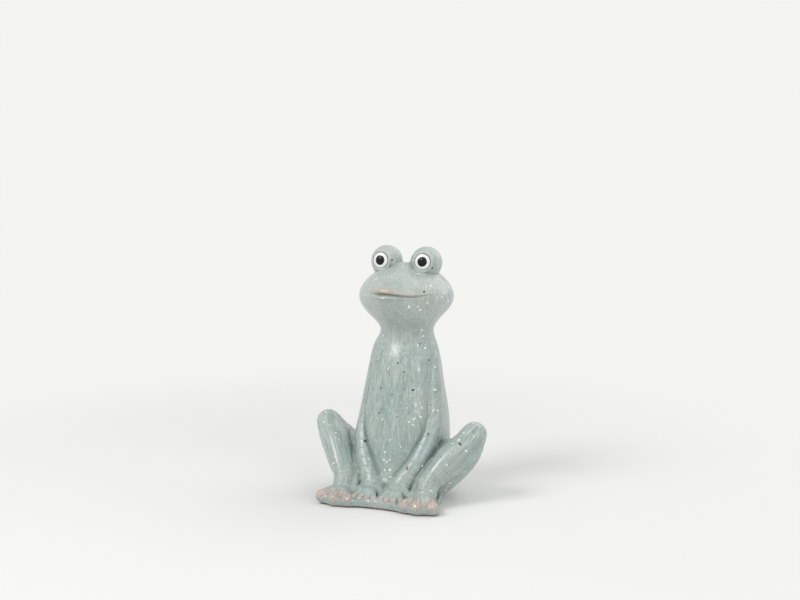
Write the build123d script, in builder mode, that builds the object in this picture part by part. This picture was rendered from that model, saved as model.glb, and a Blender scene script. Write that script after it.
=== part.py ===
"""A seated ceramic frog figurine for a shelf or a garden table.

The frog is slip cast in separate clay pieces that are luted together with liquid slip before
the glaze firing: a hollow torso, a hollow head that butts on its neck ring, two eye bulbs, two
arms with their hands, two hollow folded hind legs with their feet, and a flat slab that closes
the bottom and carries a vent hole. The eye whites and pupils are domed buttons set into
sockets, and four felt pads are stuck under the slab.

The frog faces -Y, its left side is at +X, and +Z is up. The origin is on the resting plane in
the middle of the footprint. All sizes are in millimetres.
"""

from build123d import *
from math import acos, cos, degrees, pi, radians, sin, sqrt
import os

# How the body stands and how the pieces are joined
axis_setback = 21.0  # the neck and torso axis lies this far behind the footprint's middle
lute_gap = 0.15  # film of slip between a limb and the curved wall it is luted to
overrun = 3.0  # how far a cutting tool runs past what it cuts
ring_points = 12  # points on each level outline of the torso and the head

# Felt pads under the slab
pad_radius = 6.0
pad_thickness = 1.5
# outward and forward places, as shares of the foot's breadth and reach
front_pad_shares = (0.72, 0.84)
# outward and backward places, as shares of the torso's width and depth
back_pad_shares = (0.24, 0.26)

# Base slab with its vent hole
slab_thickness = 5.0
slab_edge_radius = 1.5
slab_margin = 0.8  # the slab stands this far outside what it carries
slab_corner_radius = 8.0  # inner corners of its outline
vent_radius = 7.0

# Torso: a hollow casting, widest a third of the way up
torso_height = 157.5
torso_width = 81.0
torso_depth = 93.0
torso_wall = 5.0
# height, half width, front reach and back reach, as shares of height, width and depth
torso_shares = [
    (0.00, 0.405, 0.430, 0.430),
    (0.09, 0.463, 0.500, 0.470),
    (0.20, 0.494, 0.505, 0.490),
    (0.34, 0.500, 0.485, 0.485),
    (0.50, 0.466, 0.440, 0.435),
    (0.66, 0.428, 0.390, 0.378),
    (0.84, 0.380, 0.335, 0.315),
]

# Neck ring, where the head butts on the torso
neck_width = 54.5
neck_depth = 54.0

# Head: a hollow casting with wide cheeks and a blunt snout
head_height = 58.0
head_width = 92.4
head_depth = 94.0
head_wall = 5.0
# height, half width, front reach and back reach, as shares of the head's sizes, and how much
# the snout narrows
head_shares = [
    (0.16, 0.372, 0.400, 0.330, 0.00),
    (0.34, 0.468, 0.505, 0.385, 0.06),
    (0.50, 0.500, 0.570, 0.410, 0.12),
    (0.62, 0.480, 0.590, 0.405, 0.14),
    (0.75, 0.425, 0.540, 0.370, 0.12),
    (0.88, 0.330, 0.385, 0.285, 0.06),
    (0.96, 0.215, 0.220, 0.190, 0.00),
    (1.00, 0.080, 0.080, 0.080, 0.00),
]

# Mouth: a groove across the snout, with a raised upper lip above it
mouth_half_width = 36.0
mouth_height = 36.5  # middle of the groove above the neck ring
mouth_corner_drop = 4.5
mouth_groove = 1.6
mouth_depth = 2.0
lip_height = 5.0
lip_proud = 1.2

# Eye bulbs on the crown
bulb_radius = 15.4
bulb_spacing = 40.8
bulb_height = 61.5  # bulb centre above the neck ring
bulb_forward = 1.5  # bulb centre in front of the neck axis
gaze_out = 5.0  # each eye looks outwards by this angle, in degrees
gaze_up = 8.0

# Eye whites and pupils: domed buttons in sockets
white_radius = 7.3
white_seat_depth = 2.4
white_rim_proud = 0.5
white_dome = 1.5
pupil_radius = 4.6
pupil_seat_depth = 1.0
pupil_dome = 1.4
glue_gap = 0.12

# Arms: from the shoulder down the torso's side, then forward to the wrist
arm_radius = 9.0
# height, outward and forward places of the middle line, as shares of the torso's sizes, and
# the radius there as a share of the arm's
arm_shares = [
    (0.925, 0.235, 0.020, 0.55),
    (0.870, 0.320, 0.055, 0.72),
    (0.790, 0.372, 0.085, 0.88),
    (0.645, 0.407, 0.129, 0.96),
    (0.498, 0.430, 0.180, 1.00),
    (0.400, 0.442, 0.250, 1.00),
    (0.300, 0.412, 0.350, 0.96),
    (0.200, 0.348, 0.465, 0.87),
]
wrist_radius = 6.8
wrist_height = 24.0
wrist_out = 21.5
wrist_forward = 54.0

# Hands: a rounded palm and four fingers on each
palm_radius = 7.2
palm_out = 13.5
palm_forward = 63.5
palm_height = 12.5
finger_root_radius = 3.5
finger_tip_radius = 3.1
finger_reach_share = 0.924  # the fingers end level with the toes, this share of the foot's reach
# outward place of each finger tip as a share of the palm's, and forward place of the reach
finger_shares = [(1.46, 0.980), (1.04, 1.000), (0.64, 0.998), (0.27, 0.975)]

# Hind legs: the thigh rises to the knee, and the shank comes down to the ankle. Their outward
# places are measured from the torso's side
leg_wall = 6.0
hip_radius = 24.0
hip_inset = 10.5
hip_back = 9.0
hip_height = 36.0
thigh_radius = 19.5
knee_radius = 15.0
knee_overhang = 30.7
knee_forward = 19.0
knee_height = 66.5
calf_radius = 15.0
ankle_radius = 9.0
ankle_overhang = 3.5
ankle_forward = 53.0
ankle_height = 24.0

# Feet: an instep, three toes and the web between them
instep_radius = 8.0
instep_forward = 64.0
instep_height = 12.0
foot_breadth = 61.0
foot_reach = 85.5
toe_root_radius = 6.4
# outward place of each toe tip as a share of the breadth, forward place as a share of the
# reach, and the tip's radius as a share of the root's
toe_shares = [(1.00, 0.940, 0.95), (0.72, 1.000, 0.75), (0.45, 0.975, 0.72)]
sole_cut_share = 0.35  # share of a toe's or finger's radius that the slab's top cuts off
web_thickness = 3.2
web_reach_share = 0.62  # how far along the toes the web runs

slab_top = pad_thickness + slab_thickness
neck_level = slab_top + torso_height


def spot(out, forward, z):
    """A point by its distance out to the left, in front of the neck axis, and up."""
    return Vector(out, axis_setback - forward, z)


def casting(rings):
    """A smooth solid through level outlines, lowest first."""
    with BuildPart() as blank:
        for z, half_width, front, back, narrowing in rings:
            outline = []
            for k in range(ring_points):
                across, ahead = sin(2 * pi * k / ring_points), cos(2 * pi * k / ring_points)
                reach = front if ahead > 0 else back
                width = half_width * (1 - narrowing * max(ahead, 0) ** 2)
                outline.append((width * across, -reach * ahead))
            with BuildSketch(Plane(origin=spot(0, 0, z))):
                with BuildLine():
                    Spline(*outline, periodic=True)
                make_face()
        loft()
    return blank.part


def torso_casting(inset):
    """The torso's form, drawn in from its outer surface by the inset."""
    rings = [
        (
            slab_top + torso_height * height,
            torso_width * width - inset,
            torso_depth * front - inset,
            torso_depth * back - inset,
            0,
        )
        for height, width, front, back in torso_shares
    ]
    neck_reach = neck_depth / 2 - inset
    rings.append((neck_level, neck_width / 2 - inset, neck_reach, neck_reach, 0))
    return casting(rings)


def head_rings(inset):
    """The head's level outlines, drawn in from its outer surface by the inset."""
    neck_reach = neck_depth / 2 - inset
    rings = [(neck_level, neck_width / 2 - inset, neck_reach, neck_reach, 0)]
    # The crown comes down by the inset, and its last ring is never less than half as wide
    _, crown_width, crown_reach, _, _ = head_shares[-1]
    for height, width, front, back, narrowing in head_shares:
        rings.append(
            (
                neck_level + head_height * height - inset * height**4,
                max(head_width * width - inset, head_width * crown_width / 2),
                max(head_depth * front - inset, head_depth * crown_reach / 2),
                max(head_depth * back - inset, head_depth * crown_reach / 2),
                narrowing,
            )
        )
    return rings


def limb(stations, across, first_dir=None):
    """A smooth tapering solid through round sections square to its middle line.

    The first section is square to first_dir where one is given, so that two limbs can meet
    face to face there.
    """
    with BuildPart() as blank:
        for i, (centre, radius) in enumerate(stations):
            before = stations[max(i - 1, 0)][0]
            after = stations[min(i + 1, len(stations) - 1)][0]
            along = first_dir if first_dir and i == 0 else after - before
            with BuildSketch(Plane(origin=centre, x_dir=across, z_dir=along)):
                Circle(radius)
        loft()
    return blank.part


def round_rod(start, end, start_radius, end_radius):
    """A tapering rod with ball ends, turned about the line from start to end."""
    along = end - start
    length = along.length
    lean = (start_radius - end_radius) / length
    level = sqrt(1 - lean**2)
    turn = degrees(acos(lean))
    plane = Plane(origin=start, x_dir=along, z_dir=along.cross(Vector(0, 0, 1)))
    with BuildPart() as blank:
        with BuildSketch(plane):
            with BuildLine():
                CenterArc((0, 0), start_radius, turn, 180 - turn)
                Line(
                    (start_radius * lean, start_radius * level),
                    (length + end_radius * lean, end_radius * level),
                )
                CenterArc((length, 0), end_radius, 0, turn)
                Line((length + end_radius, 0), (-start_radius, 0))
            make_face()
        revolve(axis=Axis(start, along))
    return blank.part


def mouth_arc(rise):
    """A line across the snout from corner to corner, the given height above the groove's middle."""
    corner = neck_level + mouth_height - mouth_corner_drop + rise
    return ThreePointArc(
        (-mouth_half_width, corner),
        (0, corner + mouth_corner_drop),
        (mouth_half_width, corner),
    )


torso_clear = torso_casting(-lute_gap)
head_clear = casting(head_rings(-lute_gap))

# Everything below the slab's top, which trims hands and feet flat
with BuildPart() as below_slab_top:
    with BuildSketch(Plane.XY.offset(slab_top)):
        with Locations(spot(0, 0, 0)):
            Circle(foot_reach + foot_breadth)
    extrude(amount=-(slab_top + hip_radius))

# Torso shell, open at the neck and at the bottom
with BuildPart() as torso:
    add(torso_casting(0))
    add(torso_casting(torso_wall), mode=Mode.SUBTRACT)
torso.part.label = "torso"

# Head shell, open at the neck, with its mouth groove and raised lip
snout_plane = Plane(origin=spot(0, 0, 0), x_dir=(1, 0, 0), z_dir=(0, -1, 0))
# The groove's floor stands upright, drawn in from the outline where the snout reaches farthest
_, *snout_outline = max(head_rings(mouth_depth), key=lambda ring: ring[2])
groove_floor = casting([(z, *snout_outline) for z in (neck_level, neck_level + head_height)])
with BuildPart() as mouth_cut:
    with BuildSketch(snout_plane):
        with BuildLine():
            low = mouth_arc(-mouth_groove / 2)
            high = mouth_arc(mouth_groove / 2)
            Line(low @ 0, high @ 0)
            Line(low @ 1, high @ 1)
        make_face()
    extrude(amount=head_depth)
    add(groove_floor, mode=Mode.SUBTRACT)

with BuildPart() as upper_lip:
    with BuildSketch(snout_plane):
        with BuildLine():
            low = mouth_arc(mouth_groove / 2)
            ThreePointArc(low @ 0, low @ 0.5 + Vector(0, lip_height), low @ 1)
        make_face()
    extrude(amount=head_depth)
    add(casting(head_rings(-lip_proud)), mode=Mode.INTERSECT)

with BuildPart() as head:
    add(casting(head_rings(0)))
    add(upper_lip.part)
    add(mouth_cut.part, mode=Mode.SUBTRACT)
    # Every other outline is enough for the cavity
    add(casting(head_rings(head_wall)[::2]), mode=Mode.SUBTRACT)
head.part.label = "head"

# Left eye: a bulb luted to the crown, a white button in the bulb, and a pupil in the white
seat_level = sqrt(bulb_radius**2 - white_radius**2)
white_floor = seat_level - white_seat_depth
white_rim = seat_level + white_rim_proud
dome_radius = (white_radius**2 + white_dome**2) / (2 * white_dome)
dome_centre = white_rim + white_dome - dome_radius
socket_radius = pupil_radius + glue_gap
socket_rim = dome_centre + sqrt(dome_radius**2 - socket_radius**2)
pupil_floor = socket_rim - pupil_seat_depth

bulb_centre = spot(bulb_spacing / 2, bulb_forward, neck_level + bulb_height)
turn_out, turn_up = radians(gaze_out), radians(gaze_up)
gaze = Vector(sin(turn_out) * cos(turn_up), -cos(turn_out) * cos(turn_up), sin(turn_up))
eye_axis = Axis(bulb_centre, gaze)
# Eye profiles are half sections, with x along the gaze from the bulb's centre
eye_plane = Plane(origin=bulb_centre, x_dir=gaze, z_dir=gaze.cross(Vector(0, 0, 1)))

with BuildPart() as bulb:
    with Locations(bulb_centre):
        Sphere(bulb_radius)
    add(head_clear, mode=Mode.SUBTRACT)
    with BuildSketch(eye_plane):
        with BuildLine():
            Polyline(
                (white_floor, 0),
                (white_floor, white_radius + glue_gap),
                (bulb_radius + overrun, white_radius + glue_gap),
                (bulb_radius + overrun, 0),
                close=True,
            )
        make_face()
    revolve(axis=eye_axis, mode=Mode.SUBTRACT)
bulb.part.label = "eye_bulb_left"

with BuildPart() as white:
    with BuildSketch(eye_plane):
        with BuildLine():
            Polyline(
                (socket_rim, socket_radius),
                (pupil_floor, socket_radius),
                (pupil_floor, 0),
                (white_floor, 0),
                (white_floor, white_radius),
                (white_rim, white_radius),
            )
            RadiusArc((white_rim, white_radius), (socket_rim, socket_radius), dome_radius)
        make_face()
    revolve(axis=eye_axis)
white.part.label = "eye_white_left"

with BuildPart() as pupil:
    with BuildSketch(eye_plane):
        with BuildLine():
            Polyline(
                (socket_rim, pupil_radius),
                (pupil_floor, pupil_radius),
                (pupil_floor, 0),
                (socket_rim + pupil_dome, 0),
            )
            pupil_dome_radius = (pupil_radius**2 + pupil_dome**2) / (2 * pupil_dome)
            RadiusArc((socket_rim, pupil_radius), (socket_rim + pupil_dome, 0), pupil_dome_radius)
        make_face()
    revolve(axis=eye_axis)
pupil.part.label = "pupil_left"

# Left arm, luted to the torso's side
arm_stations = [
    (
        spot(torso_width * out, torso_depth * forward, slab_top + torso_height * height),
        arm_radius * size,
    )
    for height, out, forward, size in arm_shares
]
wrist = spot(wrist_out, wrist_forward, wrist_height)
wrist_dir = wrist - arm_stations[-1][0]
with BuildPart() as arm:
    add(limb(arm_stations + [(wrist, wrist_radius)], (1, 0, 0)))
    add(torso_clear, mode=Mode.SUBTRACT)
arm.part.label = "arm_left"

# Left hand, flat on the slab
palm = spot(palm_out, palm_forward, palm_height)
finger_rise = slab_top + finger_tip_radius * (1 - sole_cut_share)
finger_reach = foot_reach * finger_reach_share
fingers = [
    spot(palm_out * out, finger_reach * forward - finger_tip_radius, finger_rise)
    for out, forward in finger_shares
]
with BuildPart() as hand:
    add(limb([(wrist, wrist_radius), (palm, palm_radius)], (1, 0, 0), wrist_dir))
    with Locations(palm):
        Sphere(palm_radius)
    for tip in fingers:
        add(round_rod(palm, tip, finger_root_radius, finger_tip_radius))
    add(below_slab_top.part, mode=Mode.SUBTRACT)
    add(torso_clear, mode=Mode.SUBTRACT)
hand.part.label = "hand_left"

# Left hind leg, hollow, luted to the torso's side
hip = spot(torso_width / 2 - hip_inset, -hip_back, hip_height)
knee = spot(torso_width / 2 + knee_overhang, knee_forward, knee_height)
ankle = spot(torso_width / 2 + ankle_overhang, ankle_forward, ankle_height)
thigh = (hip + knee) / 2
calf = (knee + ankle) / 2
with BuildPart() as leg:
    with Locations(hip):
        Sphere(hip_radius)
    add(limb([(hip, hip_radius), (thigh, thigh_radius), (knee, knee_radius)], (0, 0, 1)))
    with Locations(knee):
        Sphere(knee_radius)
    add(limb([(knee, knee_radius), (calf, calf_radius), (ankle, ankle_radius)], (0, 0, 1)))
    add(torso_clear, mode=Mode.SUBTRACT)
    add(
        limb(
            [
                (hip, hip_radius - leg_wall),
                (thigh, thigh_radius - leg_wall),
                (knee, knee_radius - leg_wall),
            ],
            (0, 0, 1),
        ),
        mode=Mode.SUBTRACT,
    )
leg.part.label = "hind_leg_left"

# Left foot, flat on the slab
instep = spot(ankle.X, instep_forward, instep_height)
toes = []
for out, forward, size in toe_shares:
    toe_radius = toe_root_radius * size
    rise = slab_top + toe_radius * (1 - sole_cut_share)
    toes.append((spot(foot_breadth * out, foot_reach * forward - toe_radius, rise), toe_radius))
with BuildPart() as foot:
    add(limb([(ankle, ankle_radius), (instep, instep_radius)], (0, 0, 1), ankle - calf))
    with Locations(instep):
        Sphere(instep_radius)
    for tip, toe_radius in toes:
        add(round_rod(instep, tip, toe_root_radius, toe_radius))
    with BuildSketch(Plane.XY.offset(slab_top)):
        with BuildLine():
            web_ends = [instep + (tip - instep) * web_reach_share for tip, _ in toes]
            Polyline(*[(end.X, end.Y) for end in [instep] + web_ends], close=True)
        make_face()
        offset(amount=min(radius for _, radius in toes))
    extrude(amount=web_thickness)
    add(below_slab_top.part, mode=Mode.SUBTRACT)
foot.part.label = "foot_left"

# The right side mirrors the left
pieces = [torso, head]
for left_piece in (bulb, white, pupil, arm, hand, leg, foot):
    with BuildPart() as right_piece:
        mirror(left_piece.part, about=Plane.YZ)
    right_piece.part.label = left_piece.part.label.replace("left", "right")
    pieces += [left_piece, right_piece]

# Slab under the torso, the hands and the feet
_, base_width, base_reach, _ = torso_shares[0]
with BuildPart() as base_slab:
    with BuildSketch(Plane.XY.offset(pad_thickness)):
        # One outline runs round the toe tips, the outer fingers and the belly
        with BuildLine():
            belly = spot(neck_width / 2, 0, 0)
            corners = [belly, instep] + [tip for tip, _ in toes] + fingers[:1]
            left_half = [(corner.X, corner.Y) for corner in corners]
            right_half = [(-x, y) for x, y in reversed(left_half)]
            Polyline(*left_half, *right_half, close=True)
        make_face()
        offset(amount=toe_root_radius + slab_margin)
        with Locations((0, axis_setback)):
            SlotOverall(
                2 * (torso_depth * base_reach + slab_margin),
                2 * (torso_width * base_width + slab_margin),
                rotation=90,
            )
        # Swelling the outline and drawing it back rounds its inner corners
        offset(amount=slab_corner_radius)
        offset(amount=-slab_corner_radius)
        with Locations((0, axis_setback)):
            Circle(vent_radius, mode=Mode.SUBTRACT)
    extrude(amount=slab_thickness)
    fillet(base_slab.faces().sort_by(Axis.Z)[0].outer_wire().edges(), slab_edge_radius)
base_slab.part.label = "base_slab"

# Four felt pads
front_pad = spot(foot_breadth * front_pad_shares[0], foot_reach * front_pad_shares[1], 0)
back_pad = spot(torso_width * back_pad_shares[0], -torso_depth * back_pad_shares[1], 0)
with BuildPart() as felt_pads:
    with BuildSketch():
        for pad in (front_pad, back_pad):
            with Locations((pad.X, pad.Y), (-pad.X, pad.Y)):
                Circle(pad_radius)
    extrude(amount=pad_thickness)
felt_pads.part.label = "felt_pads"

os.makedirs("parts", exist_ok=True)
for piece in pieces + [base_slab, felt_pads]:
    export_step(piece.part, f"parts/{piece.part.label}.step")
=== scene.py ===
from math import atan, cos, pi, radians, sin, sqrt

import bmesh
import bpy
import numpy as np
from mathutils import Matrix, Vector


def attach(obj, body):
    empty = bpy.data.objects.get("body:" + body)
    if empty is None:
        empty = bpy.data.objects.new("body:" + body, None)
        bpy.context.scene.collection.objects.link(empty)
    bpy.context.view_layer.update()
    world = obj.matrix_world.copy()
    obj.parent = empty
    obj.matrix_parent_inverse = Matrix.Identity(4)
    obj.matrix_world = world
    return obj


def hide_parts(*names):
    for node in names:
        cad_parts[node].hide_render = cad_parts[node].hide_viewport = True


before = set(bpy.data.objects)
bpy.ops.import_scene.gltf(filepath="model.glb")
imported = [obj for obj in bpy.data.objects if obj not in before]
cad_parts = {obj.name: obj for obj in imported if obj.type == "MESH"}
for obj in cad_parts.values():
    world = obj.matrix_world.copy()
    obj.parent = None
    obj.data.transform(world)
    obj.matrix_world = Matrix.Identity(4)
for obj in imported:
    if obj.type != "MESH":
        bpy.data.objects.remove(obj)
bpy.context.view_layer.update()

# Sizes of the real frog in millimetres, as in part.py
axis_setback = 21.0
pad_thickness = 1.5
slab_thickness = 5.0
slab_top = pad_thickness + slab_thickness
slab_margin = 0.8
slab_edge_radius = 1.5
vent_radius = 7.0
torso_height = 157.5
torso_width = 81.0
torso_depth = 93.0
neck_level = slab_top + torso_height
neck_width = 54.5
neck_depth = 54.0
head_height = 58.0
head_width = 92.4
head_depth = 94.0
crown_half_width = 6.5
crown_front = 6.6
crown_back = 6.3
bulb_radius = 15.4
bulb_spacing = 40.8
bulb_height = 61.5
bulb_forward = 1.5
gaze_out = 5.0
gaze_up = 8.0
white_radius = 7.3
toe_root_radius = 6.4

# Level outlines of torso and head: height, half width, front reach and back reach, as shares,
# how much the snout narrows, and how square the outline is (2 is an ellipse). The torso's start
# inside the slab and end at the neck ring, and the head's end at the crown
slab_overlap = 8.0
neck_width_share = neck_width / torso_width / 2
neck_depth_share = neck_depth / torso_depth / 2
torso_outlines = [
    (-slab_overlap / torso_height, 0.44, 0.45, 0.43, 0.0, 2.2),
    (0.00, 0.445, 0.460, 0.440, 0.0, 2.2),
    (0.09, 0.470, 0.500, 0.470, 0.0, 2.3),
    (0.20, 0.490, 0.510, 0.490, 0.0, 2.4),
    (0.34, 0.492, 0.500, 0.485, 0.0, 2.45),
    (0.50, 0.470, 0.462, 0.435, 0.0, 2.45),
    (0.66, 0.428, 0.400, 0.378, 0.0, 2.35),
    (0.84, 0.380, 0.335, 0.315, 0.0, 2.15),
    (1.00, neck_width_share, neck_depth_share, neck_depth_share, 0.0, 2.0),
]
head_outlines = [
    (0.16, 0.372, 0.400, 0.330, 0.00, 2.0),
    (0.34, 0.468, 0.505, 0.385, 0.06, 2.0),
    (0.50, 0.500, 0.570, 0.410, 0.12, 2.0),
    (0.62, 0.480, 0.590, 0.405, 0.14, 2.0),
    (0.75, 0.425, 0.540, 0.370, 0.12, 2.0),
    (0.88, 0.330, 0.385, 0.285, 0.06, 2.0),
    (0.96, 0.215, 0.220, 0.190, 0.00, 2.0),
    (1.00, crown_half_width / head_width, crown_front / head_depth, crown_back / head_depth, 0.0, 2.0),
]

millimetre = 0.001
# How far from its stations a form is worked out, and the distance that stands for all beyond
reach = 16.0
far = 60.0
shell_wall = 1.2


def spot(out, forward, z):
    """A point in millimetres by its distance out, in front of the neck axis, and up."""
    return np.array([out, axis_setback - forward, z], float)


def places_of(points):
    """How far points lie across, in front of the neck axis, and up."""
    return points[:, 0], axis_setback - points[:, 1], points[:, 2]


def left_side(points):
    """The points, with those of the frog's right mirrored to its left."""
    side = points.copy()
    side[:, 0] = np.abs(side[:, 0])
    return side


def towards(turn, rise):
    """A direction by its turn from straight ahead to the frog's left and its rise, in degrees."""
    level = cos(radians(rise))
    return np.array([sin(radians(turn)) * level, -cos(radians(turn)) * level, sin(radians(rise))])


def step_between(low, high, values):
    """0 below low, 1 above high, and smooth in between."""
    share = np.clip((values - low) / (high - low), 0, 1)
    return share * share * (3 - 2 * share)


def bump(values, middle, width):
    """A smooth hump of height 1."""
    return np.exp(-(((values - middle) / width) ** 2))


def join(one, other, blend):
    """The smaller of two distances, rounded off where they meet."""
    share = np.clip(0.5 + 0.5 * (other - one) / blend, 0, 1)
    return other + (one - other) * share - blend * share * (1 - share)


def carve(solid, tool, blend):
    """The solid without the tool, rounded off at the rim."""
    return -join(-solid, tool, blend)


class Spline_table:
    """A smooth curve through given values, read by position."""

    def __init__(self, places, values, overrun):
        places = np.array(places, float)
        values = np.array(values, float)
        gaps = np.diff(places)
        slopes = np.diff(values) / gaps
        count = len(places)
        system = np.eye(count)
        right = np.zeros(count)
        for i in range(1, count - 1):
            system[i, i - 1 : i + 2] = gaps[i - 1], 2 * (gaps[i - 1] + gaps[i]), gaps[i]
            right[i] = 6 * (slopes[i] - slopes[i - 1])
        bends = np.linalg.solve(system, right)
        fineness = 1500
        self.places = np.linspace(places[0], places[-1] + overrun, fineness)
        run = np.clip(np.searchsorted(places, self.places) - 1, 0, count - 2)
        gap = gaps[run]
        after = np.minimum(self.places, places[-1]) - places[run]
        before = gap - after
        self.values = (
            bends[run] * before**3 / (6 * gap)
            + bends[run + 1] * after**3 / (6 * gap)
            + (values[run] / gap - bends[run] * gap / 6) * before
            + (values[run + 1] / gap - bends[run + 1] * gap / 6) * after
        )
        end_slope = slopes[-1] + bends[-2] * gaps[-1] / 6
        self.values += end_slope * np.maximum(self.places - places[-1], 0)

    def __call__(self, positions):
        return np.interp(positions, self.places, self.values)


class Level_form:
    """A form through level outlines, lowest first, with its distance near the surface."""

    def __init__(self, outlines, overrun):
        z, width, front, back, narrowing, squareness = np.array(outlines).T
        self.square_width = Spline_table(z, width**2, overrun)
        self.front_share = Spline_table(z, front / np.maximum(width, 1), 0)
        self.back_share = Spline_table(z, back / np.maximum(width, 1), 0)
        self.narrowing = Spline_table(z, narrowing, 0)
        self.squareness = Spline_table(z, squareness, 0)

    def excess(self, x, forward, z):
        share = np.where(forward > 0, self.front_share(z), self.back_share(z))
        ahead = forward / share
        lean = np.maximum(ahead, 0) ** 2 / (x * x + ahead * ahead + 1e-6)
        across = np.abs(x) / (1 - self.narrowing(z) * lean)
        power = self.squareness(z)
        size = (across**power + np.abs(ahead) ** power) ** (2 / power)
        return size - self.square_width(z)

    def __call__(self, x, forward, z):
        small = 0.05
        here = self.excess(x, forward, z)
        slope_x = (self.excess(x + small, forward, z) - here) / small
        slope_y = (self.excess(x, forward + small, z) - here) / small
        slope_z = (self.excess(x, forward, z + small) - here) / small
        return here / np.sqrt(slope_x**2 + slope_y**2 + slope_z**2 + 1)


def smooth_path(stations, per_run):
    """Stations of place and sizes, filled in along a smooth curve through them."""
    rows = np.array([np.append(place, sizes) for place, *sizes in stations])
    padded = np.vstack([2 * rows[0] - rows[1], rows, 2 * rows[-1] - rows[-2]])
    filled = []
    for i in range(1, len(rows)):
        before, start, end, after = padded[i - 1 : i + 3]
        for share in np.arange(per_run) / per_run:
            filled.append(
                0.5
                * (
                    2 * start
                    + (end - before) * share
                    + (2 * before - 5 * start + 4 * end - after) * share**2
                    + (3 * start - before - 3 * end + after) * share**3
                )
            )
    filled.append(rows[-1])
    return [(row[:3], *row[3:]) for row in filled]


def beside_line(points, start, end):
    """Each point's share of the way along a line, and its gap from the line."""
    along = end - start
    share = np.clip((points - start) @ along / (along @ along), 0, 1)
    return share, points - start - share[:, None] * along


def rod(points, start, end):
    """Distance to a tapering rod with round ends, each end a place and a radius."""
    share, gap = beside_line(points, start[0], end[0])
    return np.sqrt((gap**2).sum(1)) - (start[1] + (end[1] - start[1]) * share)


def flat_rod(points, start, end, flat):
    """Distance to a rod that is wide along the flat direction.

    Each end is a place, a half width and a half thickness."""
    share, gap = beside_line(points, start[0], end[0])
    half_width = start[1] + (end[1] - start[1]) * share
    half_depth = start[2] + (end[2] - start[2]) * share
    sideways = gap @ flat
    rest = (gap**2).sum(1) - sideways**2
    return np.sqrt((sideways * half_depth / half_width) ** 2 + rest) - half_depth


def chain(points, stations, link):
    """Distance to the nearest of the rods from each station to the next."""
    value = np.full(len(points), far)
    for start, end in zip(stations, stations[1:]):
        value = np.minimum(value, link(points, start, end))
    return value


def joined(points, rods):
    """Rods joined one after another, each with its own blend."""
    value = np.full(len(points), far)
    for start, end, blend in rods:
        value = join(value, rod(points, start, end), blend)
    return value


# The torso and the head are one level form, so that the neck runs through without a break
body_outlines = []
for outlines, level, height, breadth, depth in [
    (torso_outlines, slab_top, torso_height, torso_width, torso_depth),
    (head_outlines, neck_level, head_height, head_width, head_depth),
]:
    for share, width, front, back, narrowing, squareness in outlines:
        z = level + height * share
        body_outlines.append(
            (z, breadth * width, depth * front, depth * back, narrowing, squareness)
        )
room_over_crown = 30.0
body_form = Level_form(body_outlines, room_over_crown)

# Brow between the eye bulbs, and the swelling at the belly's low end, each with its blend
brow = ((spot(0, 8, 214.0), 11.0), (spot(0, 30, 208.0), 9.0))
brow_blend = 8.0
low_belly = ((spot(0, 32, 46.0), 15.0), (spot(0, 50, 19.5), 8.0))
low_belly_blend = 10.0

# Eye bulb of the left side, the direction it looks in, and the rim and dish round the eye white
bulb_centre = spot(bulb_spacing / 2, bulb_forward, neck_level + bulb_height)
gaze = towards(gaze_out, gaze_up)
rim_radius = 9.0
rim_thickness = 1.05
rim_proud = 0.1
rim_level = sqrt(bulb_radius**2 - rim_radius**2) + rim_proud
rim_blend = 1.2
dish_radius = 7.85
dish_depth = 1.7
dish_floor = sqrt(bulb_radius**2 - white_radius**2) - dish_depth
dish_blend = 0.5

# Left arm: middle line, half breadth, half thickness, and how far the broad side is turned
# from straight across, in degrees
arm_stations = smooth_path(
    [
        (spot(17.5, 2.0, 153.5), 4.5, 3.5, 66),
        (spot(24.0, 5.5, 144.5), 7.0, 5.0, 66),
        (spot(28.4, 8.5, 131.0), 9.2, 6.0, 66),
        (spot(31.2, 11.5, 110.0), 10.6, 6.9, 66),
        (spot(33.6, 15.5, 88.0), 11.4, 7.4, 64),
        (spot(34.8, 22.5, 70.0), 11.2, 7.8, 60),
        (spot(33.2, 32.0, 54.5), 10.4, 8.0, 46),
        (spot(27.6, 42.5, 39.5), 9.8, 7.6, 30),
        (spot(19.8, 51.5, 26.0), 10.2, 6.9, 16),
        (spot(14.6, 57.0, 18.5), 10.8, 6.6, 8),
        (spot(13.2, 62.0, 13.5), 10.6, 6.2, 4),
    ],
    2,
)
wrist_level = 24.0

# Left hand: rods of the palm, each with its blend, then the fingertips with the fingers' radii
palm = spot(13.0, 61.5, 12.5)
palm_rods = [
    ((palm, 7.0), (spot(12.5, 67.0, 10.5), 5.4), 3.0),
    ((spot(0.0, 60.0, 8.5), 6.5), (palm, 7.2), 3.0),
    ((spot(0.0, 62.0, 7.5), 6.0), (spot(0.0, 75.0, 6.0), 4.4), 2.5),
    ((palm, 6.4), (spot(32.0, 63.0, 9.5), 5.6), 3.0),
    ((spot(18.0, 69.0, 6.0), 4.6), (spot(27.0, 72.0, 6.0), 4.6), 2.5),
]
finger_ends = [
    (spot(23.4, 75.4, 9.2), 3.5, 3.3),
    (spot(16.8, 77.6, 9.2), 3.5, 3.3),
    (spot(10.2, 77.6, 9.2), 3.5, 3.3),
    (spot(3.9, 76.2, 9.0), 3.4, 3.1),
]
knuckle_share = 0.55
knuckle_lift = 3.8
knuckle_blend = 1.0
finger_blend = 0.9

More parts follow.
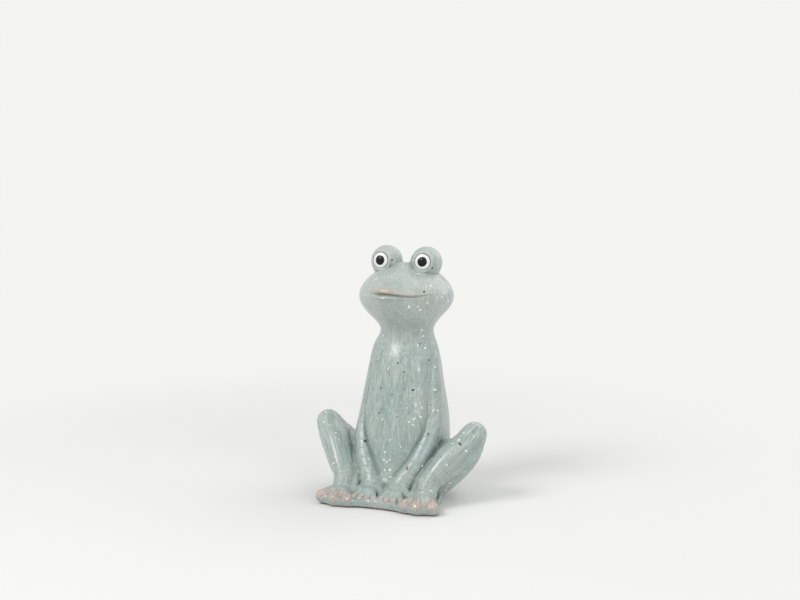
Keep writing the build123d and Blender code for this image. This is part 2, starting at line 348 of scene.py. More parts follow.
# Left hind leg: thigh, shank with a soft ridge down its front, and the calf that fills it out
hip = spot(30.0, -9.0, 29.0)
knee = spot(76.0, 18.5, 65.6)
ankle = spot(43.0, 54.0, 23.0)
thigh_stations = smooth_path(
    [
        (hip, 20.5),
        (spot(47.0, 1.5, 30.0), 15.4),
        (spot(60.5, 9.5, 43.5), 15.2),
        (spot(69.6, 14.5, 55.4), 13.0),
        (knee, 9.6),
    ],
    2,
)
shank_flat = np.array([0.93, 0.37, 0.0])
shank_stations = smooth_path(
    [
        (knee, 9.6, 9.4),
        (spot(68.5, 26.0, 56.0), 12.8, 11.8),
        (spot(58.0, 36.5, 44.0), 14.8, 12.8),
        (spot(49.0, 47.5, 31.5), 12.6, 11.2),
        (ankle, 10.0, 9.4),
        (spot(42.5, 60.0, 14.0), 9.8, 8.4),
    ],
    2,
)
ridge_stations = smooth_path(
    [
        (spot(74.8, 20.5, 64.5), 9.0),
        (spot(67.0, 33.0, 57.0), 8.4),
        (spot(57.0, 45.0, 45.0), 7.2),
        (spot(48.0, 55.0, 32.0), 6.0),
        (spot(43.0, 61.0, 21.0), 5.0),
    ],
    2,
)
calf_stations = smooth_path(
    [
        (knee, 9.6),
        (spot(67.8, 20.0, 47.0), 14.2),
        (spot(55.0, 26.0, 30.0), 14.0),
        (spot(43.5, 33.0, 16.0), 11.0),
    ],
    3,
)
# Clay that fills the fold between forearm and shank
fold_stations = [
    (spot(46.0, 12.0, 46.0), 11.5),
    (spot(41.0, 23.0, 40.0), 11.5),
    (spot(38.0, 34.0, 33.0), 11.0),
    (spot(35.0, 45.5, 22.0), 9.5),
    (spot(33.0, 56.0, 11.5), 8.0),
]
# What is joined to the shank, in this order, and the blends
leg_chains = [
    (ridge_stations, 4.0),
    (calf_stations, 6.0),
    (fold_stations, 3.0),
    (thigh_stations, 5.0),
]

# Left foot: instep, toes from the outermost inwards with their radii, and the web between them
instep = spot(42.0, 63.0, 12.0)
toe_ends = [
    (spot(55.8, 79.0, 7.8), 6.6, 6.0),
    (spot(41.6, 83.0, 7.7), 6.2, 5.7),
    (spot(28.6, 81.4, 7.5), 5.8, 5.4),
]
toe_blend = 1.8
foot_rods = [((ankle, 9.4), (instep, 8.4), toe_blend)]
foot_rods += [
    ((instep, root_radius), (tip, tip_radius), toe_blend) for tip, root_radius, tip_radius in toe_ends
]
web_rod = ((instep, 11.0), (spot(41.5, 70.0, 9.0), 12.5))
web_top = slab_top + 3.2
web_blend = 3.0

# Outline of the slab's left half, to be swollen by its margin, and how far its top is sunk
slab_corners = [
    (0.0, 72.6), (7.5, 73.0), (19.7, 73.8), (27.5, 76.6), (41.0, 78.6), (54.4, 73.6),
    (46.0, 56.0), (38.0, 20.0), (33.0, 0.0), (26.0, -20.0), (12.0, -30.0), (0.0, -33.0),
]
slab_swell = toe_root_radius + slab_margin
slab_sunk = 0.6


def by_gaze(points):
    """How far points lie ahead of the left bulb's centre, and out from the line it looks along."""
    around = points - bulb_centre
    ahead = around @ gaze
    return ahead, np.sqrt(np.maximum((around**2).sum(1) - ahead**2, 0))


def bulb_form(points):
    """The eye bulb, with a rim round the dish that holds the eye white."""
    ahead, out = by_gaze(points)
    rim = np.hypot(out - rim_radius, ahead - rim_level) - rim_thickness
    solid = join(np.hypot(ahead, out) - bulb_radius, rim, rim_blend)
    dish = np.maximum(out - dish_radius, dish_floor - ahead)
    return carve(solid, dish, dish_blend)


def arm_rod(points, start, end):
    """A flat rod that is turned as its first station says."""
    turn = radians(start[3])
    return flat_rod(points, start, end, np.array([cos(turn), sin(turn), 0]))


def arm_form(points):
    return chain(points, arm_stations, arm_rod)


def hand_form(points):
    """The palm, and fingers that each rise to a knuckle and run down to the tip."""
    value = joined(points, palm_rods)
    for tip, root_radius, tip_radius in finger_ends:
        root = (palm, root_radius)
        knuckle = (palm + (tip - palm) * knuckle_share + [0, 0, knuckle_lift], root_radius)
        rods = [(root, knuckle, knuckle_blend), (knuckle, (tip, tip_radius), knuckle_blend)]
        value = join(value, joined(points, rods), finger_blend)
    return value


def shank_rod(points, start, end):
    return flat_rod(points, start, end, shank_flat)


def leg_form(points):
    """The shank, with its ridge, the calf, the clay in the fold and the thigh joined on."""
    value = chain(points, shank_stations, shank_rod)
    for stations, blend in leg_chains:
        value = join(value, chain(points, stations, rod), blend)
    return value


def foot_form(points):
    """The instep and toes, with a low web of clay between them."""
    web = np.maximum(rod(points, *web_rod), points[:, 2] - web_top)
    return join(joined(points, foot_rods), web, web_blend)


def slab_form(points):
    """The slab, which has a rounded lower edge."""
    x, forward, z = places_of(points)
    place = np.stack([x, forward], 1)
    corners = np.array(slab_corners)
    squares = np.full(len(points), far**2)
    inside = np.zeros(len(points), bool)
    for start, end in zip(corners, corners[1:]):
        gap = beside_line(place, start, end)[1]
        squares = np.minimum(squares, (gap**2).sum(1))
        crosses = (start[1] > forward) != (end[1] > forward)
        drop = np.where(end[1] == start[1], 1.0, end[1] - start[1])
        inside ^= crosses & (x < start[0] + (forward - start[1]) * (end[0] - start[0]) / drop)
    level = np.where(inside, -1, 1) * np.sqrt(squares) - slab_swell + slab_edge_radius
    low = pad_thickness + slab_edge_radius
    high = slab_top - slab_sunk
    depth = np.abs(z - (low + high) / 2) - (high - low) / 2
    outside = np.hypot(np.maximum(level, 0), np.maximum(depth, 0))
    return outside + np.minimum(np.maximum(level, depth), 0) - slab_edge_radius


def near_only(points, stations, form):
    """A form's distance for the points near its stations, and a large one elsewhere."""
    places = np.array([station[0] for station in stations])
    room = max(station[1] for station in stations) + reach
    near = ((points > places.min(0) - room) & (points < places.max(0) + room)).all(1)
    value = np.full(len(points), far)
    if near.any():
        value[near] = form(points[near])
    return value


def distances(points):
    """Each form's own distance at the points, which are in millimetres."""
    side = left_side(points)
    low = points[:, 2] < slab_top + reach
    slab = np.full(len(points), far)
    slab[low] = slab_form(side[low])
    return {
        "body": body_form(*places_of(points)),
        "bulb": near_only(side, [(bulb_centre, bulb_radius)], bulb_form),
        "arm": near_only(side, arm_stations, arm_form),
        "hand": near_only(side, [(palm, 8.0)] + finger_ends, hand_form),
        "leg": near_only(side, thigh_stations + shank_stations, leg_form),
        "foot": near_only(side, [(instep, 12.0), (ankle, 9.4)] + toe_ends, foot_form),
        "slab": slab,
    }


# The lips: place across, height of the mouth line over the neck ring, height of the upper lip,
# and how strongly the lips are modelled there. The smile is drawn higher on the frog's right
lip_places = [-40.0, -32.0, -24.0, -14.8, -8.4, -1.0, 9.0, 17.7, 25.3, 31.5, 38.0, 43.0]
mouth_levels = [33.5, 34.6, 35.5, 35.9, 36.1, 36.2, 35.4, 34.3, 33.9, 34.3, 34.2, 33.8]
lip_heights = [1.5, 1.5, 2.4, 3.8, 5.6, 6.6, 4.8, 3.0, 2.6, 2.3, 1.7, 1.0]
lip_strengths = [0.0, 0.0, 0.05, 0.45, 0.95, 1.0, 1.0, 1.0, 0.95, 0.6, 0.12, 0.0]
mouth_level = Spline_table(lip_places, mouth_levels, 0)
lip_height = Spline_table(lip_places, lip_heights, 0)
lip_strength = Spline_table(lip_places, lip_strengths, 0)


def lip_relief(x, forward, z):
    """How far the lips stand out of the face, less where the mouth line is drawn in."""
    above = z - neck_level - mouth_level(x)
    span = step_between(4, 14, forward) * np.clip(lip_strength(x), 0, 1)
    across = np.clip(above / lip_height(x), 0, 1)
    upper = (1.4 + 0.7 * bump(x, -4, 12)) * np.sin(pi * across) ** 0.55
    groove = 1.7 * bump(above, -0.2, 1.0) * (0.4 + 0.6 * bump(x, 2, 15))
    pout = 3.0 * bump(above, -3.7, 1.7) * bump(x, -3, 9)
    lower = 0.5 * bump(above, -2.6, 1.8)
    return span * (upper + pout + lower - groove)


# Blends between the forms, and how deep and wide the creases are that part them
bulb_blend = 4.0
bulb_crease = 0.35
bulb_crease_width = 1.2
arm_blend = 1.6
shoulder_blend = 9.0
wrist_blend = 4.5
arm_crease = 0.9
arm_crease_width = 1.5
hand_blend = 3.0
leg_blend = 4.0
leg_crease = 0.6
leg_crease_width = 1.8
foot_blend = 3.0
slab_blend = 3.5
vent_top = 26.0
vent_blend = 0.6
# Heights over which the arm flows out of the shoulder, and into the belly at the wrist
shoulder_levels = (118, 150)
wrist_levels = (26, 62)
# The stretch of the body in which the lips are worked out
face_level = neck_level + 20
face_depth = 8


def crease(gap, depth, width):
    """Clay taken away where two forms meet, at equal distances from both."""
    return depth * bump(gap, 0, width)


def whole(made, points):
    """The frog's own distance from those of its forms."""
    x, forward, z = places_of(points)
    face = (z > face_level) & (forward > 0) & (np.abs(made["body"]) < face_depth)
    body = made["body"].copy()
    body[face] -= lip_relief(x[face], forward[face], z[face])
    body = join(body, rod(points, *brow), brow_blend)
    body = join(body, rod(points, *low_belly), low_belly_blend)
    bulb = made["bulb"]
    value = join(body, bulb, bulb_blend) + crease(body - bulb, bulb_crease, bulb_crease_width)
    arm = made["arm"]
    shoulder = step_between(*shoulder_levels, z)
    wrist = 1 - step_between(*wrist_levels, z)
    value = join(value, arm, arm_blend + shoulder_blend * shoulder + wrist_blend * wrist)
    depth = arm_crease * (1 - shoulder) * (1 - 0.6 * wrist) * step_between(-2, 10, forward)
    value += crease(body - arm, depth, arm_crease_width)
    value = join(value, made["hand"], hand_blend)
    leg = made["leg"]
    limbs = np.minimum(body, arm)
    value = join(value, leg, leg_blend) + crease(limbs - leg, leg_crease, leg_crease_width)
    value = join(value, made["foot"], foot_blend)
    value = join(value, made["slab"], slab_blend)
    value = np.maximum(value, pad_thickness - z)
    vent = np.maximum(np.hypot(x, forward) - vent_radius, z - vent_top)
    return carve(value, vent, vent_blend)


def field(points):
    return whole(distances(points), points)


def slopes(points, values):
    """The field's gradient at points where its value is known."""
    small = 0.04
    ahead = [field(points + shift) - values for shift in np.eye(3) * small]
    return np.stack(ahead, 1) / small


def directions(ways):
    """The same ways, each of length 1."""
    return ways / np.linalg.norm(ways, axis=1)[:, None]


def settle(points, rounds):
    """Moves points onto the frog's surface."""
    smallest_square = 0.05
    longest_move = 0.8
    for _ in range(rounds):
        values = field(points)
        slope = slopes(points, values)
        square = np.maximum((slope**2).sum(1), smallest_square)
        move = -values / square
        size = np.abs(move) * np.sqrt(square)
        move *= np.minimum(1, longest_move / np.maximum(size, 1e-9))
        points = points + slope * move[:, None]
    return points


def grid_places(counts):
    """All places of a grid, as rows of three whole numbers."""
    ranges = [np.arange(count) for count in counts]
    return np.stack(np.meshgrid(*ranges, indexing="ij"), -1).reshape(-1, 3)


def sample_grid(step):
    """The field on a grid of points, worked out only near the surface."""
    block = 8
    blocks_at_once = 600
    low = np.array([-91.0, -71.0, -1.0])
    high = np.array([91.0, 71.0, 245.0])
    counts = np.ceil((high - low) / (step * block)).astype(int)
    blocks = grid_places(counts)
    rough = field(low + (blocks + 0.5) * block * step)
    values = rough.reshape(counts)
    for axis in range(3):
        values = np.repeat(values, block, axis)
    # Half a block's diagonal and some to spare, because the field isn't exact
    nearness = 0.9 * block * step + 3.0
    chosen = blocks[np.abs(rough) < nearness]
    offsets = grid_places([block] * 3)
    for part in np.array_split(chosen, max(1, len(chosen) // blocks_at_once)):
        places = (part[:, None, :] * block + offsets).reshape(-1, 3)
        values[tuple(places.T)] = field(low + places * step)
    return values, low


def surface_net(values, low, step):
    """Four-sided faces through the places where the values change sign."""
    inside = values < 0
    cells = tuple(n - 1 for n in values.shape)
    count = np.zeros(cells, np.uint8)
    for i, j, k in grid_places([2, 2, 2]):
        count += inside[i : i + cells[0], j : j + cells[1], k : k + cells[2]]
    mixed = (count > 0) & (count < 8)
    where = np.argwhere(mixed)
    number = np.full(cells, -1, np.int64)
    number[mixed] = np.arange(len(where))
    total = np.zeros((len(where), 3))
    hits = np.zeros(len(where))
    faces = []
    units = np.eye(3, dtype=int)
    for axis, unit in enumerate(units):
        second, third = (axis + 1) % 3, (axis + 2) % 3
        one, other = units[second], units[third]
        for corner in (0 * one, one, other, one + other):
            start = where + corner
            here = values[tuple(start.T)]
            next_value = values[tuple((start + unit).T)]
            crosses = (here < 0) != (next_value < 0)
            share = here / np.where(crosses, here - next_value, 1)
            total += crosses[:, None] * (start + share[:, None] * unit)
            hits += crosses
        ends = tuple(slice(1, None) if i == axis else slice(None) for i in range(3))
        starts = tuple(slice(None, -1) if i == axis else slice(None) for i in range(3))
        edges = np.argwhere(inside[starts] != inside[ends])
        edges = edges[(edges[:, second] > 0) & (edges[:, third] > 0)]
        edges = edges[(edges < np.array(cells)).all(1)]
        around = [edges, edges - one, edges - one - other, edges - other]
        quads = np.stack([number[tuple(cell.T)] for cell in around], 1)
        outward = inside[tuple(edges.T)]
        quads[~outward] = quads[~outward][:, ::-1]
        faces.append(quads)
    faces = np.vstack(faces)
    return low + step * total / hits[:, None], faces[(faces >= 0).all(1)]


def even_out(places, faces):
    """Moves each point part of the way to its neighbours' middle."""
    part_way = 0.5
    total = np.zeros_like(places)
    count = np.zeros(len(places))
    for k in range(4):
        start, end = faces[:, k], faces[:, (k + 1) % 4]
        for axis in range(3):
            total[:, axis] += np.bincount(start, places[end, axis], len(places))
        count += np.bincount(start, minlength=len(places))
    middle = total / np.maximum(count, 1)[:, None]
    return places + (middle - places) * part_way


def face_sides(faces):
    """Both ends of every side of every face."""
    return np.stack([faces, np.roll(faces, -1, 1)], 2).reshape(-1, 2)


def divide(places, faces):
    """Each face cut into four, with the new points put on the frog's surface."""
    count = len(places)
    sides = np.sort(face_sides(faces), 1)
    unique, which = np.unique(sides, axis=0, return_inverse=True)
    middles = places[unique].mean(1)
    centres = places[faces].mean(1)
    added = settle(np.vstack([middles, centres]), 2)
    which = which.reshape(-1, 4) + count
    centre = count + len(unique) + np.arange(len(faces))
    quarters = [
        np.stack([faces[:, k], which[:, k], centre, which[:, k - 1]], 1) for k in range(4)
    ]
    return np.vstack([places, added]), np.vstack(quarters)


# The CAD node of each form, without its side
form_nodes = {
    "body": "torso",
    "bulb": "eye_bulb",
    "arm": "arm",
    "hand": "hand",
    "leg": "hind_leg",
    "foot": "foot",
    "slab": "base_slab",
}
paired_nodes = ["eye_bulb", "arm", "hand", "hind_leg", "foot"]
# What lies under this level, or within these of the vent, is the slab's
underside_level = pad_thickness + 0.5
vent_seam_level = vent_top + 4.0
vent_seam_radius = vent_radius + 1.5


def name_faces(middles):
    """The CAD node that each face belongs to."""
    made = distances(middles)
    nearest = np.argmin(np.stack([made[form] for form in form_nodes]), 0)
    x, forward, z = places_of(middles)
    names = np.array(list(form_nodes.values()))[nearest]
    names[(names == "torso") & (z > neck_level)] = "head"
    names[(names == "arm") & (z < wrist_level)] = "hand"
    names[(names == "hand") & (z > wrist_level)] = "arm"
    names[(names == "hind_leg") & (z < ankle[2])] = "foot"
    names[(names == "foot") & (z > ankle[2])] = "hind_leg"
    names[z < underside_level] = "base_slab"
    names[(z < vent_seam_level) & (np.hypot(x, forward) < vent_seam_radius)] = "base_slab"
    sides = np.where(x > 0, "_left", "_right")
    return np.where(np.isin(names, paired_nodes), np.char.add(names, sides), names)


# Directions in which the glaze was brushed, one for each form
brush_ways = {
    "body": np.array([0, 0, 1.0]),
    "bulb": np.array([0, 0, 1.0]),
    "arm": np.array([12.0, 30.0, 40.0]),
    "hand": palm - spot(11, 80, 4),
    "leg": knee - ankle,
    "foot": ankle - spot(50, 84, 4),
    "slab": np.array([0.3, 1.0, 0.0]),
}
stroke_squeeze = 0.08


def brush_places(points, made):
    """Places for the brush strokes: as they are across a stroke, and squeezed along it."""
    fade = 1.5
    deepest = -2
    side = left_side(points)
    total = np.zeros_like(side)
    weights = np.zeros(len(side))
    for form, way in brush_ways.items():
        way = way / np.linalg.norm(way)
        squeezed = side - (1 - stroke_squeeze) * (side @ way)[:, None] * way
        weight = np.exp(-np.maximum(made[form], deepest) / fade) + 1e-9
        total += squeezed * weight[:, None]
        weights += weight
    places = total / weights[:, None]
    places[:, 0] *= np.sign(points[:, 0] + 1e-9)
    return places


# Bare tips: how far the wiped stretch runs from the tip towards the instep or the palm, over
# which distances the glaze comes back around it, and how bare it is at most
bare_toes = (toe_ends, instep, 0.18, (-1.6, 3.8), 1.0)
bare_fingers = (finger_ends, palm, 0.6, (-0.8, 2.0), 0.9)


def bare_share(points, normals):
    """Where the clay shows: toes, fingertips and underside, and as a second mark the upper lip."""
    x, forward, z = places_of(points)
    side = left_side(points)
    share = np.zeros(len(points))
    for ends, root, stretch, fade, most in (bare_toes, bare_fingers):
        for tip, _, radius in ends:
            gap = rod(side, (tip, radius), (tip + (root - tip) * stretch, radius))
            share = np.maximum(share, most * (1 - step_between(*fade, gap)))
    share *= step_between(-0.8, 0.3, normals[:, 2])
    across = (z - neck_level - mouth_level(x)) / lip_height(x)
    lip = bump(across, 0.5, 0.5) * np.clip(lip_strength(x), 0, 1)
    lip *= step_between(4, 14, forward) * (z > neck_level)
    low = 1 - step_between(pad_thickness + 0.3, pad_thickness + 1.2, z)
    return np.maximum(share, low * (normals[:, 2] < -0.4)), lip


mark_names = ("hollow", "edge", "bare", "lip")


def surface_marks(points):
    """Normals, brush places, hollows, edges and bare clay at points on the surface."""
    made = distances(points)
    normals = directions(slopes(points, whole(made, points)))
    probe = 3.5
    bare, lip = bare_share(points, normals)
    return {
        "normals": normals,
        "strokes": brush_places(points, made),
        "hollow": np.clip(1 - field(points + normals * probe) / probe, 0, 1),
        "edge": np.clip(1 + field(points - normals * probe) / probe, 0, 1),
        "bare": bare,
        "lip": lip,
    }


def open_edges(places, faces):
    """The edges that only one face has, in that face's direction."""
    sides = face_sides(faces)
    key = sides[:, 0] * len(places) + sides[:, 1]
    back = sides[:, 1] * len(places) + sides[:, 0]
    return sides[~np.isin(key, back)]


def thicken(places, faces, normals):
    """Closes an open patch with an inner wall, which stays inside at every crease."""
    inner = places - normals * shell_wall
    count = len(places)
    start, end = open_edges(places, faces).T
    rim = np.stack([end, start, start + count, end + count], 1)
    return np.vstack([places, inner]), np.vstack([faces, faces[:, ::-1] + count, rim])


def close_patch(places, faces):
    """Closes an open patch with a fan inside the frog, one for each run of open edges."""
    open_sides = open_edges(places, faces)
    if len(open_sides) == 0:
        return places, np.zeros((0, 3), int)
    group = {}

    def leader(item):
        while group.setdefault(item, item) != item:
            item = group[item]
        return item

    for start, end in open_sides.tolist():
        group[leader(start)] = leader(end)
    leaders = np.array([leader(start) for start in open_sides[:, 0].tolist()])
    fans = []
    for one in np.unique(leaders):
        chosen = open_sides[leaders == one]
        places = np.vstack([places, places[chosen[:, 0]].mean(0)])
        middle = np.full(len(chosen), len(places) - 1)
        fans.append(np.stack([chosen[:, 1], chosen[:, 0], middle], 1))
    return places, np.vstack(fans)


def add_object(name, data):
    """A new object in the scene."""
    item = bpy.data.objects.new(name, data)
    bpy.context.scene.collection.objects.link(item)
    return item


def add_smooth(name, mesh):
    """A new smooth object from points and faces in the making."""
    for face in mesh.faces:
        face.smooth = True
    data = bpy.data.meshes.new(name)
    mesh.to_mesh(data)
    mesh.free()
    return add_object(name, data)


def make_piece(name, places, faces):
    """A closed mesh object for one piece, with its surface marks as attributes."""
    marks = surface_marks(places)
    normals = marks["normals"]
    if name.startswith(("torso", "head")):
        closed, fans = close_patch(places, faces)
        extra = len(closed) - len(places)
        normals = np.vstack([normals, np.tile([0, 0, 1.0], (extra, 1))])
    else:
        closed, faces = thicken(places, faces, normals)
        fans = np.zeros((0, 3), int)
        extra = 0
        normals = np.vstack([normals, -normals])
        for mark in mark_names:
            marks[mark] = np.tile(marks[mark], 2)
        marks["strokes"] = np.tile(marks["strokes"], (2, 1))
    mesh = bpy.data.meshes.new(name)
    corners = np.concatenate([faces.ravel(), fans.ravel()])
    sizes = np.concatenate([np.full(len(faces), 4), np.full(len(fans), 3)])
    starts = np.concatenate([[0], np.cumsum(sizes)[:-1]])
    mesh.vertices.add(len(closed))
    mesh.vertices.foreach_set("co", (closed * millimetre).ravel())
    mesh.loops.add(len(corners))
    mesh.loops.foreach_set("vertex_index", corners)
    mesh.polygons.add(len(sizes))
    mesh.polygons.foreach_set("loop_start", starts)
    mesh.update(calc_edges=True)
    mesh.validate()
    mesh.polygons.foreach_set("use_smooth", np.ones(len(mesh.polygons), bool))
    for mark in mark_names:
        layer = mesh.attributes.new(mark, "FLOAT", "POINT")
        layer.data.foreach_set("value", np.append(marks[mark], np.zeros(extra)))
    layer = mesh.attributes.new("strokes", "FLOAT_VECTOR", "POINT")
    strokes = np.vstack([marks["strokes"], closed[len(marks["strokes"]) :]])
    layer.data.foreach_set("vector", strokes.ravel())
    mesh.normals_split_custom_set_from_vertices(normals)
    return add_object(name, mesh)


def make_frog(step, finer):
    """All glazed pieces, each in place of the CAD node of its name."""
    values, low = sample_grid(step)
    places, faces = surface_net(values, low, step)
    places = settle(places, 2)
    places = settle(even_out(places, faces), 1)
    places = settle(even_out(places, faces), 2)
    labels = name_faces(places[faces].mean(1))
    pieces = {}
    for name in sorted(set(labels)):
        chosen = faces[labels == name]
        used, renumbered = np.unique(chosen, return_inverse=True)
        patch_places, patch_faces = places[used], renumbered.reshape(-1, 4)
        if finer and name.startswith("eye"):
            patch_places, patch_faces = divide(patch_places, patch_faces)
        pieces[name] = make_piece(name + "_glazed", patch_places, patch_faces)
        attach(pieces[name], "root")
        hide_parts(name)
    return pieces, places, faces


# Where the glaze is thickly flecked: how much, middle and width of the stretch across, middle
# and width of the stretch up, and how far in front of the neck axis it begins. Cheek, breast and
# belly of the frog's left have their own, and the knees have more than the rest
fleck_areas = [
    (0.95, 38, 14, 202, 16, -10),
    (0.75, 17, 9, 143, 24, 0),
    (0.55, 14, 9, 80, 18, 0),
]
flecks_everywhere = 0.22
knee_flecks = 0.3


def fleck_mark(points):
    """How thickly the glaze is flecked at points on the surface, from 0 to 1."""
    x, forward, z = places_of(points)
    mark = flecks_everywhere + knee_flecks * step_between(48, 60, np.abs(x))
    for amount, across, width, level, height, front in fleck_areas:
        area = bump(x, across, width) * bump(z, level, height)
        mark += amount * area * step_between(front, 15, forward)
    ahead, out = by_gaze(left_side(points))
    mark[(ahead > 8) & (out < rim_radius + 1.2)] = 0
    return np.clip(mark, 0, 1) * step_between(14, 26, z)


class Wire:
    """An output of a node in a tree, which can be used in arithmetic."""

    def __init__(self, owner, socket):
        self.owner = owner
        self.socket = socket

    def maths(self, operation, *terms):
        sockets = dict(enumerate(terms))
        return self.owner.node("ShaderNodeMath", {"operation": operation}, sockets)

    def __add__(self, other):
        return self.maths("ADD", self, other)

    __radd__ = __add__

    def __sub__(self, other):
        return self.maths("SUBTRACT", self, other)

    def __rsub__(self, other):
        return self.maths("SUBTRACT", other, self)

    def __mul__(self, other):
        return self.maths("MULTIPLY", self, other)

    __rmul__ = __mul__

    def __truediv__(self, other):
        return self.maths("DIVIDE", self, other)

    def __pow__(self, other):
        return self.maths("POWER", self, other)

    def between(self, low, high):
        """0 below low, 1 above high, and smooth in between."""
        return self.owner.node(
            "ShaderNodeMapRange",
            {"interpolation_type": "SMOOTHSTEP"},
            {"Value": self, "From Min": low, "From Max": high},
            "Result",
        )


class Node_tree:
    """A tree whose nodes are written as expressions."""

    def __init__(self, tree):
        self.tree = tree
        self.tree.nodes.clear()

    def node(self, kind, settings=None, sockets=None, output=0):
        """One node: its settings are set first, then its sockets; gives the named output."""
        made = self.tree.nodes.new(kind)
        for name, value in (settings or {}).items():
            setattr(made, name, value)
        for name, value in (sockets or {}).items():
            if isinstance(value, Wire):
                self.tree.links.new(value.socket, made.inputs[name])
            else:
                made.inputs[name].default_value = value
        return Wire(self, made.outputs[output]) if made.outputs else None

    def beside(self, wire, output):
        """Another output of the node that a wire comes from."""
        return Wire(self, wire.socket.node.outputs[output])


class Finish(Node_tree):
    """A material written as expressions."""

    def __init__(self, name):
        self.material = bpy.data.materials.new(name)
        self.material.use_nodes = True
        super().__init__(self.material.node_tree)

    def object_places(self):
        return self.node("ShaderNodeTexCoord", output="Object")

    def mark(self, name, output="Fac"):
        return self.node("ShaderNodeAttribute", {"attribute_name": name}, output=output)

    def noise(self, places, scale, detail=2.0, roughness=0.5):
        return self.node(
            "ShaderNodeTexNoise",
            None,
            {"Vector": places, "Scale": scale, "Detail": detail, "Roughness": roughness},
            "Fac",
        )

    def mix(self, share, one, other):
        return self.node("ShaderNodeMix", {"data_type": "RGBA"}, {0: share, 6: one, 7: other}, 2)

    def relief(self, strength, distance, height):
        sockets = {"Strength": strength, "Distance": distance, "Height": height}
        return self.node("ShaderNodeBump", None, sockets, "Normal")

    def specks(self, places, scale, radius, kept):
        """1 inside small round specks, one in some of the cells of a jittered grid."""
        distance = self.node(
            "ShaderNodeTexVoronoi", None, {"Vector": places, "Scale": scale}, "Distance"
        )
        cell = self.beside(distance, "Color")
        chance = self.node("ShaderNodeSeparateColor", None, {"Color": cell}, "Red")
        size = self.beside(chance, "Green")
        inside = 1 - (distance / (radius * (0.45 + size))).between(0.75, 1.1)
        return inside * chance.maths("GREATER_THAN", chance, 1 - kept)

    def principled(self, sockets):
        return self.node("ShaderNodeBsdfPrincipled", None, sockets)

    def surface(self, shader):
        """The finished material."""
        self.node("ShaderNodeOutputMaterial", None, {"Surface": shader})
        return self.material


def paint(red, green, blue):
    """A colour given as it looks, out of 255, turned into a shader's values."""

    def value(level):
        level /= 255
        return level / 12.92 if level <= 0.04045 else ((level + 0.055) / 1.055) ** 2.4

    return (value(red), value(green), value(blue), 1.0)


def glaze():
    """Brushed sage glaze over terracotta, darker in the hollows and wiped off the toes."""
    finish = Finish("sage_glaze")
    places = finish.object_places()
    level = finish.node("ShaderNodeSeparateXYZ", None, {"Vector": places}, "Z")
    strokes = finish.mark("strokes", "Vector")
    hollow, edge, bare, lip = [finish.mark(name) for name in mark_names]
    broad = finish.noise(strokes, 0.16, 3.0)
    fine = finish.noise(strokes, 0.6, 3.0, 0.6)
    hair = finish.noise(strokes, 1.5, 2.0, 0.6)
    cloud = finish.noise(places, 28.0, 2.0)
    sage = finish.mix(cloud.between(0.35, 0.65), paint(153, 169, 165), paint(165, 176, 170))
    # Broad pale and dark strokes, finer ones, hairlines, hollows, edges, and the head painted paler and
    # warmer as painted light from above
    layers = [
        (broad.between(0.5, 0.7) * 0.5, (182, 196, 195)),
        ((1 - broad.between(0.3, 0.5)) * 0.5, (132, 153, 149)),
        (fine.between(0.52, 0.66) * 0.46, (202, 211, 209)),
        ((1 - fine.between(0.34, 0.47)) * 0.46, (114, 136, 130)),
        (hair.between(0.58, 0.68) * 0.3, (218, 224, 221)),
        (hollow.between(0.15, 0.75) * 0.65, (110, 131, 124)),
        (edge.between(0.35, 0.9) * 0.35, (198, 204, 198)),
        # Painted light: the head and throat are painted paler and warmer, as if lit more from above
        (level.between(0.13, 0.18) * 0.2, (216, 213, 205)),
    ]
    for share, colour in layers:
        sage = finish.mix(share, sage, paint(*colour))
    clay = finish.mix(fine.between(0.35, 0.65), paint(182, 152, 140), paint(218, 194, 182))
    worn = bare * (0.55 + 0.55 * fine + 0.25 * hair) * (1 - hollow.between(0.2, 0.7) * 0.5)
    worn = worn.between(0.2, 0.98) * 0.82
    coat = finish.mix(worn, sage, clay)
    coat = finish.mix(lip * 0.7, coat, paint(184, 168, 154))
    glazed = 1 - bare
    white_mask = finish.specks(places, 300.0, 0.15, 0.3) * glazed
    coat = finish.mix(white_mask * 0.9, coat, paint(238, 240, 236))
    dark_mask = finish.specks(places, 200.0, 0.085, 0.14) * glazed
    coat = finish.mix(dark_mask * 0.9, coat, paint(62, 74, 71))
    height = broad * 0.4 + fine * 0.7 + hair * 0.3 + white_mask * 0.4
    shader = finish.principled(
        {
            "Base Color": coat,
            "Roughness": 0.28 + 0.14 * cloud + 0.08 * worn,
            "Normal": finish.relief(0.45, 0.0009, height),
            "Coat Weight": 0.45 * (1 - worn),
            "Coat Roughness": 0.18,
            "IOR": 1.5,
        }
    )
    return finish.surface(shader)


def plain_glaze(name, grain, colours, roughness, sockets):
    """A glaze of two near colours, mixed and roughened by one noise."""
    finish = Finish(name)
    shade = finish.noise(finish.object_places(), grain, 2.0)
    colour = finish.mix(shade, paint(*colours[0]), paint(*colours[1]))
    rough = roughness + 0.1 * shade
    return finish.surface(finish.principled({"Base Color": colour, "Roughness": rough, **sockets}))


def pupil_glaze():
    """Black glaze with a few greyer patches."""
    finish = Finish("pupil_glaze")
    shade = finish.noise(finish.object_places(), 700.0, 3.0)
    colour = finish.mix(shade.between(0.5, 0.8), paint(9, 10, 11), paint(34, 36, 37))
    rough = 0.14 + 0.16 * shade
    sockets = {"Base Color": colour, "Roughness": rough, "Specular IOR Level": 0.28}
    return finish.surface(finish.principled(sockets))


def felt():
    """Dense dark felt, uneven from fibre to fibre."""
    finish = Finish("pad_felt")
    fibre = finish.noise(finish.object_places(), 1800.0, 4.0, 0.7)
    colour = finish.mix(fibre.between(0.3, 0.7), paint(38, 38, 39), paint(78, 77, 76))
    nap = finish.relief(0.6, 0.0003, fibre)
    return finish.surface(finish.principled({"Base Color": colour, "Roughness": 0.95, "Normal": nap}))


